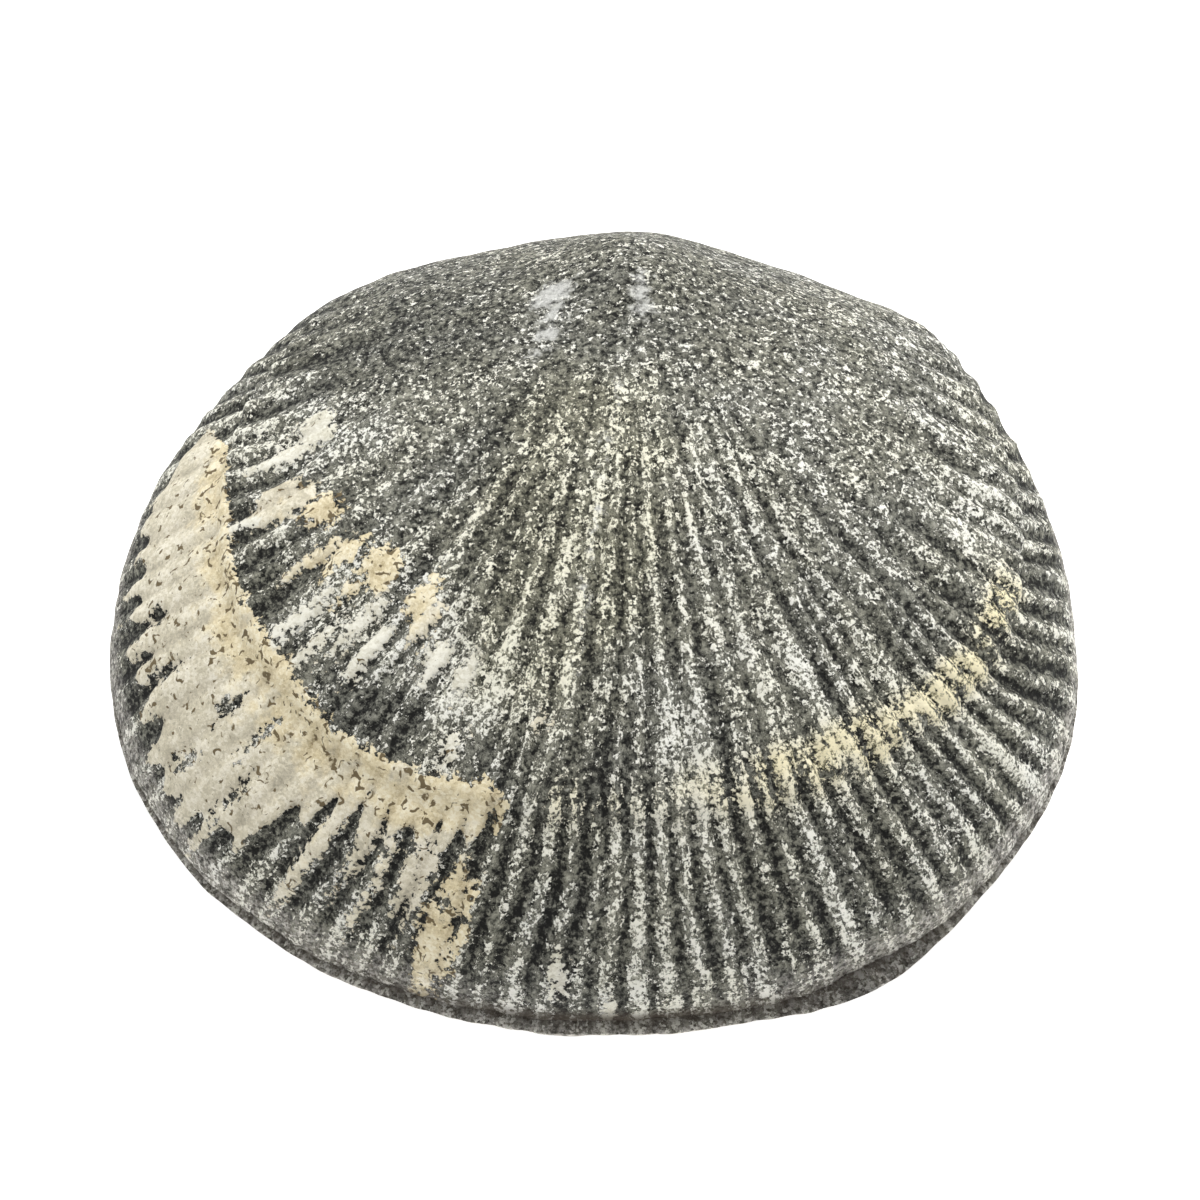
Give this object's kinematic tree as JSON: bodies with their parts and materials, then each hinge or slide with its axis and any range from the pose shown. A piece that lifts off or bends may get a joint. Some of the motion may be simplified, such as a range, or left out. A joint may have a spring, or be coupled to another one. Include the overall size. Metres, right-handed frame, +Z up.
{
  "type": "brachiopod fossil",
  "caption": "A rounded oval fossil brachiopod lying on its flatter lower valve, with a high domed upper valve, ribs fanning out from the beak and a growth step crossing them.",
  "frame": {"origin": "Centre of the bounding box in plan, at the surface the fossil rests on", "axes": "+X to the right across the shell's width, +Y to the hinge and beak at the back, +Z up through the domed upper valve"},
  "size_m": [0.0428, 0.0392, 0.0172],
  "materials": {
    "fossil_stone": "matte"
  },
  "bodies": {
    "root": {"brachiopod_fossil": "fossil_stone"}
  },
  "joints": []
}
